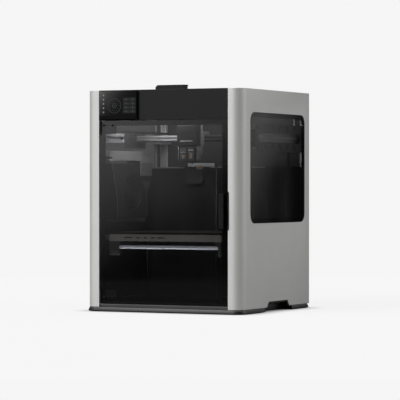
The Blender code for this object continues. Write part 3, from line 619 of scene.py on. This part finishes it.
def door():
    """Tinted glass with a printed border, its handle and two hinges with their screws."""
    repaint("door_glass", LOOK["glass"])
    low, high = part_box("door_glass")
    back = high.y
    edit = bmesh.new()
    outer = rounded((low.x + 0.0085, high.x - 0.0003), (low.z + 0.0003, high.z - 0.0003), 0.0015)
    inner = rounded(DOOR_VIEW_X, DOOR_VIEW_Z, 0.004)
    add_ring(edit, outer, inner, "Y", back + FILM[0], back + FILM[1])
    put("door_border", edit, LOOK["ink"], "door")
    shell("door_handle", LOOK["black"], 0.0010, 3)
    for end, z in HINGE_HEIGHTS:
        shell(f"door_hinge_{end}", LOOK["dark"], 0.0003)
        edit = bmesh.new()
        for x in HINGE_SCREW_X:
            screw_head(edit, (x, z), "Y", low.y, -1, 0.0036)
        put(f"hinge_screws_{end}", edit, LOOK["black"], "door")


def top_cover():
    shell("top_cover_frame", LOOK["header"], 0.0010, 3)
    repaint("top_glass", LOOK["glass"])
    shell("camera_housing", LOOK["header"], 0.0010, 3)


def touchscreen():
    """Housing, glass and a plain layout: icons, a dial with ticks and a block of tiles."""
    shell("screen_housing", LOOK["black"], 0.0008, 3)
    shell("screen_glass", LOOK["screen"], 0.0003)
    low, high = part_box("screen_glass")
    face = low.y
    lift = 0.00012

    def mark(name, add, surface):
        edit = bmesh.new()
        add(edit)
        put(name, edit, surface, "touchscreen")

    def add_film(edit, outline):
        add_prism(edit, outline, "Y", face - lift, face - lift / 4)

    def add_band(edit, centre, outer, inner, steps):
        add_ring(edit, circle(centre, outer, steps), circle(centre, inner, steps), "Y", face - lift,
                 face - lift / 4)

    def tile_corners():
        for column in range(2):
            for row in range(4):
                yield TILE_TOP[0] + TILE_STEP[0] * column, TILE_TOP[1] - TILE_STEP[1] * row

    # A film over the glass whose glow paints a reflection across the screen
    def sheen_film(edit):
        x = (low.x + 0.0012, high.x - 0.0025)
        z = (SHEEN_FILM_LOW_Z, high.z - 0.0012)
        add_prism(edit, rounded(x, z, 0.0020, 3), "Y", face - lift / 5, face + lift / 5)

    def icons(edit):
        for number in range(5):
            add_band(edit, (ICON_TOP[0], ICON_TOP[1] - ICON_PITCH * number), 0.0024, 0.0008, 16)

    def dial(edit):
        add_band(edit, DIAL, 0.0210, 0.0203, 48)
        for number in range(12):
            angle = 2 * pi * number / 12
            for radius in (0.0125, 0.0160):
                spot = (DIAL[0] + radius * cos(angle), DIAL[1] + radius * sin(angle))
                add_film(edit, circle(spot, 0.0007, 8))
        add_band(edit, DIAL, 0.0065, 0.0056, 32)
        hub = 0.0012
        add_film(edit, rounded((DIAL[0] - hub, DIAL[0] + hub), (DIAL[1] - hub, DIAL[1] + hub), 0.0004, 3))

    def tiles(edit):
        for x, z in tile_corners():
            add_film(edit, rounded((x, x + TILE_SIZE[0]), (z - TILE_SIZE[1], z), 0.0016, 3))
        add_film(edit, rounded(*STATUS_BAR, 0.0005, 3))

    def tile_marks(edit):
        for x, z in tile_corners():
            dot = circle((x + TILE_SIZE[0] / 2, z - TILE_SIZE[1] / 2), 0.0015, 12)
            add_prism(edit, dot, "Y", face - lift * 1.6, face - lift * 1.1)

    mark("screen_sheen_film", sheen_film, LOOK["painted_sheen"])
    mark("screen_icons", icons, LOOK["lit"])
    mark("screen_dial", dial, LOOK["soft"])
    mark("screen_tiles", tiles, LOOK["dim"])
    mark("screen_tile_marks", tile_marks, LOOK["soft"])


def rear_details():
    """Screws and a vent grid on the rear cover, and the rear panel's screws."""
    low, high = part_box("rear_cover")
    screw_inset = 0.012
    profile = ((high.y - 0.0016, 0.0036), (high.y - 0.0002, 0.0036), (high.y - 0.0001, 0.0030))
    edit = bmesh.new()
    for x in inset((low.x, high.x), screw_inset):
        for z in (low.z + screw_inset, (low.z + high.z) / 2, high.z - screw_inset):
            add_turned(edit, (x, z), "Y", profile, 18)
    put("rear_cover_screws", edit, LOOK["screw"], "printer_frame")
    edit = bmesh.new()
    for row in range(9):
        z = low.z + 0.120 + 0.012 * row
        add_prism(edit, rounded((-0.060, 0.060), (z - 0.002, z + 0.002), 0.0019, 3), "Y",
                  high.y - 0.0010, high.y - 0.00005)
    put("rear_cover_vents", edit, LOOK["ink"], "printer_frame")
    low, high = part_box("rear_panel")
    edit = bmesh.new()
    for x in (low.x + 0.010, 0.0, high.x - 0.010):
        for z in inset((low.z, high.z), screw_inset):
            screw_head(edit, (x, z), "Y", high.y, 1, 0.0030)
    put("rear_panel_screws", edit, LOOK["screw"], "printer_frame")


# -------------------------------------------------------------------- chamber

def chamber():
    shell("chamber_back_wall", LOOK["wall"], 0.0020, 3)
    shell("purge_chute", LOOK["dark"], 0.0008)
    shell("nozzle_wiper", LOOK["brass"], 0.0006)
    shell("aux_fan_housing", LOOK["dark"], 0.0015, 3)
    shell("aux_duct", LOOK["duct"], 0.0008)
    shell("aux_fan_rotor", LOOK["black"], 0.0004)
    shell("exhaust_fan_rotor", LOOK["black"], 0.0004)
    shell("cable_guard", LOOK["grey"], 0.0003)
    for side in ("left", "right"):
        shell(f"y_rail_{side}", LOOK["aluminium"], 0.0005)
        shell(f"drive_belt_{side}", LOOK["rubber"], 0)
        shell(f"xy_motor_{side}", LOOK["black"], 0.0008)
        shell(f"motor_pulley_{side}", LOOK["aluminium"], 0.0002)
        shell(f"guide_rod_{side}", LOOK["rod"], 0.0004)
    for place_name in ("left", "right", "rear"):
        repaint(f"lead_screw_{place_name}", LOOK["thread"])
    guard_slots()
    rail_highlights()
    ledge_highlights()
    housing_highlights()
    fan_grille()
    wiper_brush()


def guard_slots():
    """Two rows of slanted slots in the cable guard, mirrored about its middle."""
    low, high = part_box("cable_guard")
    edit = bmesh.new()
    middle = (low.z + high.z) / 2 + 0.0022
    for number in range(6):
        lean = SLOT_LEAN * (1 if number % 2 else -1)
        start = low.y + 0.0165 + SLOT_PITCH * number - lean / 2
        for sign in (-1, 1):
            near = middle + sign * 0.020
            far = middle + sign * 0.033
            outline = [(start, near), (start + SLOT_WIDTH, near), (start + SLOT_WIDTH + lean, far),
                       (start + lean, far)]
            add_prism(edit, outline, "X", high.x - 0.0001, high.x + 0.0002)
    put("cable_guard_slots", edit, LOOK["ink"], "printer_frame")


def rail_highlights():
    """Painted highlights: bright strips on the outer face of the right rail, where its edges catch the light.
    """
    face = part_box("y_rail_right")[1].x
    edit = bmesh.new()
    for y, z in RAIL_HIGHLIGHTS:
        add_prism(edit, rounded(y, z, 0.0006, 3), "X", face - 0.0001, face + 0.0003)
    put("rail_highlights", edit, LOOK["steel"], "printer_frame")


def ledge_highlights():
    """Painted highlights: pale rounded strips on the front edges of the back ledge and of the tray behind it,
    where they catch the light.
    """
    for name, x, y, z in LEDGE_HIGHLIGHTS:
        edit = bmesh.new()
        add_prism(edit, rounded(y, z, 0.0004, 3), "X", x[0], x[1])
        put(name, edit, LOOK["light"], "printer_frame")


def housing_highlights():
    """Painted highlights under the duct: a funnel that runs out in a thin rib along the housing's right edge,
    and the housing's pale front edge, where the edges catch the light.
    """
    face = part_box("aux_fan_housing")[1].x
    lift = face + 0.0001
    edit = bmesh.new()
    add_prism(edit, FUNNEL_HIGHLIGHT, "X", lift, face + 0.0012)
    put("funnel_highlight", edit, LOOK["grey"], "printer_frame")
    edit = bmesh.new()
    add_box(edit, (lift, face + 0.0010), *HOUSING_RIB_HIGHLIGHT)
    put("housing_rib_highlight", edit, LOOK["grey"], "printer_frame")
    width = 0.0014
    outline = [*HOUSING_EDGE_HIGHLIGHT, *[(y + width, z) for y, z in reversed(HOUSING_EDGE_HIGHLIGHT)]]
    edit = bmesh.new()
    add_prism(edit, outline, "X", lift, face + 0.0006)
    put("housing_edge_highlight", edit, LOOK["light"], "printer_frame")


def fan_grille():
    """Rings and spokes in front of the auxiliary fan."""
    low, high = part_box("aux_fan_rotor")
    centre = ((low.y + high.y) / 2, (low.z + high.z) / 2)
    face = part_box("aux_fan_housing")[1].x
    edit = bmesh.new()
    for radius in GRILLE_RADII:
        add_ring(edit, circle(centre, radius + 0.0008, 40), circle(centre, radius - 0.0008, 40), "X",
                 face - 0.0030, face - 0.0010)
    for spoke in range(4):
        angle = pi / 4 + spoke * pi / 2
        start = Vector((cos(angle), sin(angle)))
        across = Vector((-sin(angle), cos(angle))) * 0.0012
        ends = (start * 0.004, start * 0.0525)
        outline = [Vector(centre) + ends[0] - across, Vector(centre) + ends[1] - across,
                   Vector(centre) + ends[1] + across, Vector(centre) + ends[0] + across]
        add_prism(edit, [tuple(point) for point in outline], "X", face - 0.0034, face - 0.0014)
    put("aux_fan_grille", edit, LOOK["dark"], "printer_frame")


def wiper_brush():
    """Six tufts on the nozzle wiper."""
    low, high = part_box("nozzle_wiper")
    edit = bmesh.new()
    for number in range(6):
        x = low.x + 0.002 + (high.x - low.x - 0.004) * number / 5
        add_turned(edit, (x, high.y - 0.004), "Z", ((high.z - 0.003, 0.0011), (high.z + 0.0015, 0.0009)), 8)
    put("wiper_brush", edit, LOOK["brass"], "printer_frame")


# ------------------------------------------------------------- motion system

def chain_links():
    """The cable chain: links along two runs and round the bend between them.

    On the real chain the bend travels half as far as the gantry; here the links are built at rest and the
    script gives them no motion."""
    low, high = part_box("y_cable_chain")
    bend_y = low.y + CHAIN_OUTER
    middle = (low.z + high.z) / 2
    half = (CHAIN_INNER + CHAIN_OUTER) / 2

    def link(edit, centre, along, size):
        """One side-plated link: a trapezoid body, narrower towards its next one."""
        across = Vector((-along[1], along[0]))
        along = Vector(along)
        thick = (CHAIN_OUTER - CHAIN_INNER) / 2 - 0.0006
        corners = ((-size / 2, -thick), (size / 2, -thick * 0.7), (size / 2, thick * 0.7), (-size / 2, thick))
        outline = [tuple(Vector(centre) + along * a + across * b) for a, b in corners]
        add_prism(edit, outline, "X", low.x + 0.0004, high.x - 0.0004)
        add_prism(edit, outline_scaled(outline, centre, 0.82), "X", low.x + 0.0001, high.x - 0.0001)

    def outline_scaled(outline, centre, scale):
        return [tuple(Vector(centre) + (Vector(point) - Vector(centre)) * scale) for point in outline]

    def run(name, start, end, z, direction):
        edit = bmesh.new()
        count = max(1, round((end - start) / LINK_PITCH))
        step = (end - start) / count
        for number in range(count):
            link(edit, (start + step * (number + 0.5), z), (direction, 0), step * 0.94)
        return put(name, edit, LOOK["dark"], "printer_frame")

    moving = run("chain_upper_run", bend_y, CHAIN_END_Y, middle + half, 1)
    fixed = run("chain_lower_run", bend_y, high.y, middle - half, -1)
    edit = bmesh.new()
    count = 7
    for number in range(count):
        angle = radians(90 + 180 * (number + 0.5) / count)
        centre = (bend_y + half * cos(angle), middle + half * sin(angle))
        link(edit, centre, (-sin(angle), cos(angle)), pi * half / count * 0.94)
    bend = put("chain_bend", edit, LOOK["dark"], "printer_frame")
    for piece in (moving, fixed, bend):
        piece.parent = None
    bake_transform(bend)
    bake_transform(fixed)
    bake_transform(moving)
    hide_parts("y_cable_chain")


def gantry():
    """Carriages with their screws, the beam with its linear rail, and the rim of the belt's idler."""
    for side in ("left", "right"):
        shell(f"gantry_carriage_{side}", LOOK["dark"], 0.0012, 3)
    shell("x_beam", LOOK["beam"], 0.0006)
    low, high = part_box("x_beam")
    middle = (low.z + high.z) / 2
    back = low.y + 0.0002
    front = low.y - 0.0040
    waist = low.y - 0.0030
    outline = [(front, middle - 0.0045), (back, middle - 0.0045), (back, middle + 0.0045),
               (front, middle + 0.0045), (waist, middle + 0.0020), (waist, middle - 0.0020)]
    edit = bmesh.new()
    add_prism(edit, outline, "X", low.x + 0.004, high.x - 0.004)
    put("x_linear_rail", edit, LOOK["beam"], "gantry")
    edit = bmesh.new()
    for side, sign in SIDES:
        low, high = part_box(f"gantry_carriage_{side}")
        inner_face = high.x if sign < 0 else low.x
        for y in inset((low.y, high.y), 0.012):
            for z in (low.z + 0.009, low.z + 0.032):
                screw_head(edit, (y, z), "X", inner_face, -sign, 0.0026)
    put("carriage_screws", edit, LOOK["screw"], "gantry")
    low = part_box("gantry_carriage_left")[0]
    centre = (low.x + 0.0085, IDLER_Z)
    edit = bmesh.new()
    add_ring(edit, circle(centre, 0.0070), circle(centre, 0.0052), "Y", low.y - 0.0006, low.y)
    put("idler_rim", edit, LOOK["light"], "gantry")


def toolhead():
    """Body and cover, the cover's trim, lamp and vents, and a post with a screw at each side."""
    shell("toolhead_body", LOOK["grey"], 0.0020, 3)
    shell("toolhead_cover", LOOK["header"], 0.0030, 4)
    shell("cutter_lever", LOOK["dark"], 0.0005)
    low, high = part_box("toolhead_cover")
    face = low.y
    edit = bmesh.new()
    add_prism(edit, rounded((low.x + 0.012, high.x - 0.014), TRIM_Z, 0.0008, 3), "Y", face - 0.0003,
              face + 0.0005)
    put("toolhead_trim", edit, LOOK["light"], "toolhead")
    edit = bmesh.new()
    add_turned(edit, ((low.x + high.x) / 2 - 0.0085, LAMP_Z), "Y",
               ((face - 0.0004, 0.0014), (face + 0.0005, 0.0016)), 16)
    put("toolhead_lamp", edit, LOOK["lit"], "toolhead")

    vents = bmesh.new()
    for number in range(5):
        z = VENT_Z + VENT_PITCH * number
        add_prism(vents, rounded((low.x + 0.016, high.x - 0.018), (z, z + 0.0013), 0.0006, 2), "Y",
                  face - 0.0002, face + 0.0003)
    put("toolhead_vents", vents, LOOK["ink"], "toolhead")

    posts = bmesh.new()
    screws = bmesh.new()
    for x in (low.x + 0.0005, high.x - 0.0040):
        add_box(posts, (x, x + 0.0035), POST_Y, POST_Z, 0.0008)
        screw_head(screws, (x + 0.0018, POST_SCREW_Z), "Y", POST_Y[0], -1, 0.0016)
    put("toolhead_posts", posts, LOOK["grey"], "toolhead")
    put("toolhead_post_screws", screws, LOOK["light"], "toolhead")
    hotends()


def hotends():
    """Each one: a dark sock on the heater, cooling fins, a bright clip and brass contacts."""
    for node, body, clip_z in HOTENDS:
        shell(node, LOOK["dark"], 0.0008)
        low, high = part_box(node)
        x = (low.x, high.x)
        front = low.y
        fins = bmesh.new()
        for number in range(4):
            top = FIN_TOP_Z if number < 2 else clip_z
            z = top - FIN_PITCH * number
            add_box(fins, inset(x, 0.001), (front - 0.0014, front + 0.001), (z, z + 0.0014))
        put(f"{node}_fins", fins, LOOK["grey"], body)
        clip = bmesh.new()
        add_box(clip, inset(x, 0.0025), (front - 0.0024, front), (clip_z, clip_z + 0.0026), 0.0005)
        put(f"{node}_clip", clip, LOOK["light"], body)
        contacts = bmesh.new()
        middle = (low.x + high.x) / 2
        z = (CONTACT_LOW_Z, clip_z - 0.006)
        for start in (middle - 0.0030, middle + 0.0018):
            add_box(contacts, (start, start + 0.0020), (front - 0.0016, front), z, 0.0003)
        put(f"{node}_contacts", contacts, LOOK["brass"], body)


# ------------------------------------------------------------------------ bed

def bed():
    """Plate, heater and carrier, with slots and teeth along the carrier's front beam."""
    shell("bed_frame", LOOK["bed_metal"], 0.0008)
    shell("bed_front_bar", LOOK["steel"], 0.0008, 3)
    shell("heatbed", LOOK["black"], 0.0005)
    shell("build_plate", LOOK["plate"], 0.0004)
    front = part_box("bed_frame")[0].y
    edit = bmesh.new()
    for x, length in BEAM_SLOTS:
        add_prism(edit, rounded((x, x + length), BEAM_SLOT_Z, 0.0010, 3), "Y", front - 0.0002, front + 0.0006)
    put("bed_beam_slots", edit, LOOK["ink"], "bed")
    edit = bmesh.new()
    for number in range(8):
        x = BEAM_TOOTH_X + BEAM_TOOTH_PITCH * number
        add_box(edit, (x, x + 0.012), (front + 0.001, front + 0.012), BEAM_TOOTH_Z, 0.001)
    put("bed_beam_teeth", edit, LOOK["dark"], "bed")


# --------------------------------------------------------------------- studio

def light(name, place_at, look_at, width, height, power):
    """A rectangular lamp that the camera doesn't see."""
    data = bpy.data.lights.new(name, "AREA")
    data.shape = "RECTANGLE"
    data.size = width
    data.size_y = height
    data.energy = power
    made = bpy.data.objects.new(name, data)
    made.location = place_at
    direction = Vector(look_at) - Vector(place_at)
    made.rotation_euler = direction.to_track_quat("-Z", "Y").to_euler()
    made.visible_camera = False
    bpy.context.scene.collection.objects.link(made)


def facing(tree, direction, target):
    """How far a direction of the surroundings agrees with a target direction, from -1 to 1."""
    node = tree.nodes.new("ShaderNodeVectorMath")
    node.operation = "DOT_PRODUCT"
    node.inputs[1].default_value = Vector(target).normalized()
    tree.links.new(direction, node.inputs[0])
    return node.outputs["Value"]


def heading(azimuth, elevation):
    """A direction: azimuth from the front towards the printer's right, and elevation, in degrees."""
    a = radians(azimuth)
    e = radians(elevation)
    return (sin(a) * cos(e), -cos(a) * cos(e), sin(e))


def surroundings():
    """A white studio: one large soft panel at the front left and above, a smaller one at the right."""
    world = bpy.data.worlds.new("studio")
    world.use_nodes = True
    tree = world.node_tree
    direction = tree.nodes.new("ShaderNodeTexCoord").outputs["Generated"]

    front_edge = fade(tree, facing(tree, direction, PANEL_EDGE), -0.0135, 0.045, PANEL_LIGHT)
    front_reach = fade(tree, facing(tree, direction, heading(-27, 32)), 0.40, 0.88, 1.0)
    front = combine(tree, "MULTIPLY", front_edge, front_reach)
    side_ramp = fade(tree, facing(tree, direction, SIDE_EDGE), -0.0018, 0.0153, 1.0)
    side_edge = combine(tree, "MULTIPLY", combine(tree, "POWER", side_ramp, 1.6), SIDE_LIGHT)
    side_reach = fade(tree, facing(tree, direction, heading(126, 20)), 0.50, 0.85, 1.0)
    side = combine(tree, "MULTIPLY", side_edge, side_reach)
    above = fade(tree, facing(tree, direction, (0, 0, 1)), 0.4, 0.9, TOP_LIGHT)
    total = combine(tree, "ADD", combine(tree, "ADD", front, side), combine(tree, "ADD", above, FILL_LIGHT))

    lighting = tree.nodes["Background"]
    tree.links.new(total, lighting.inputs["Color"])
    backdrop = tree.nodes.new("ShaderNodeBackground")
    backdrop.inputs["Color"].default_value = (BACKDROP, BACKDROP, BACKDROP, 1)
    seen = tree.nodes.new("ShaderNodeLightPath").outputs["Is Camera Ray"]
    mix = tree.nodes.new("ShaderNodeMixShader")
    tree.links.new(seen, mix.inputs["Fac"])
    tree.links.new(lighting.outputs["Background"], mix.inputs[1])
    tree.links.new(backdrop.outputs["Background"], mix.inputs[2])
    tree.links.new(mix.outputs["Shader"], tree.nodes["World Output"].inputs["Surface"])
    bpy.context.scene.world = world


def floor():
    """A round floor, pale to the camera and dark to the light that bounces, so its shadows stay faint."""
    made, tree, shader = new_material("studio_floor")
    coordinates = tree.nodes.new("ShaderNodeTexCoord").outputs["Object"]
    low = (FLOOR_COLOUR * 0.97,) * 3
    high = (FLOOR_COLOUR * 1.03,) * 3
    tree.links.new(ramp(tree, noise(tree, coordinates, 2.0), low, high), shader.inputs["Base Color"])
    shader.inputs["Roughness"].default_value = 1.0
    shader.inputs["Specular IOR Level"].default_value = 0.0
    shader.inputs["Emission Color"].default_value = (1, 1, 1, 1)
    seen = tree.nodes.new("ShaderNodeLightPath").outputs["Is Camera Ray"]
    contact = tree.nodes.new("ShaderNodeAmbientOcclusion")
    contact.inputs["Distance"].default_value = CONTACT_SHADE
    glowing = combine(tree, "MULTIPLY", seen, contact.outputs["AO"])
    tree.links.new(combine(tree, "MULTIPLY", glowing, FLOOR_GLOW), shader.inputs["Emission Strength"])
    edit = bmesh.new()
    edit.faces.new([edit.verts.new((x, y, 0)) for x, y in circle((0, 0), FLOOR_RADIUS, 96)])
    mesh = bpy.data.meshes.new("floor")
    edit.to_mesh(mesh)
    edit.free()
    mesh.materials.append(made)
    made = bpy.data.objects.new("floor", mesh)
    bpy.context.scene.collection.objects.link(made)


def soft_sun(name, source, power):
    """A distant soft light that comes from the direction of its source."""
    data = bpy.data.lights.new(name, "SUN")
    data.energy = power
    data.angle = radians(25)
    made = bpy.data.objects.new(name, data)
    made.rotation_euler = Vector([-c for c in source]).to_track_quat("-Z", "Y").to_euler()
    bpy.context.scene.collection.objects.link(made)


def studio():
    surroundings()
    floor()
    soft_sun("key", heading(-28, 30), KEY_POWER)
    soft_sun("side_key", heading(118, 22), SIDE_POWER)
    light("chamber_lamp", (-0.110, -0.195, 0.585), (0.030, 0.050, 0.430), 0.16, 0.02, LAMP_POWER)
    light("far_lamp", (0.150, -0.085, 0.590), (-0.190, 0.020, 0.440), 0.10, 0.02, FAR_LAMP_POWER)
    light("guard_lamp", (0.2412, 0.023, 0.492), (0.230, 0.023, 0.492), 0.33, 0.08, GUARD_LAMP_POWER)
    light("bar_lamp", (0.0, -0.232, 0.150), (0.0, -0.205, 0.190), 0.34, 0.01, BAR_LAMP_POWER)
    bpy.context.scene.view_settings.view_transform = "Standard"


def camera():
    data = bpy.data.cameras.new("camera")
    data.lens = CAMERA_LENS
    data.sensor_width = 36
    data.clip_end = 60
    made = bpy.data.objects.new("camera", data)
    made.location = CAMERA_PLACE
    made.rotation_euler = (radians(90 - CAMERA_PITCH), 0, radians(CAMERA_AZIMUTH))
    bpy.context.scene.collection.objects.link(made)
    bpy.context.scene.camera = made


for old in list(bpy.data.objects):
    bpy.data.objects.remove(old, do_unlink=True)
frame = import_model()
LOOK = make_finishes()

camera()
outer_body()
door_sill()
grip_painted_light_sheets()
side_windows()
side_linings()
door()
top_cover()
touchscreen()
rear_details()
chamber()
chain_links()
gantry()
toolhead()
bed()
studio()
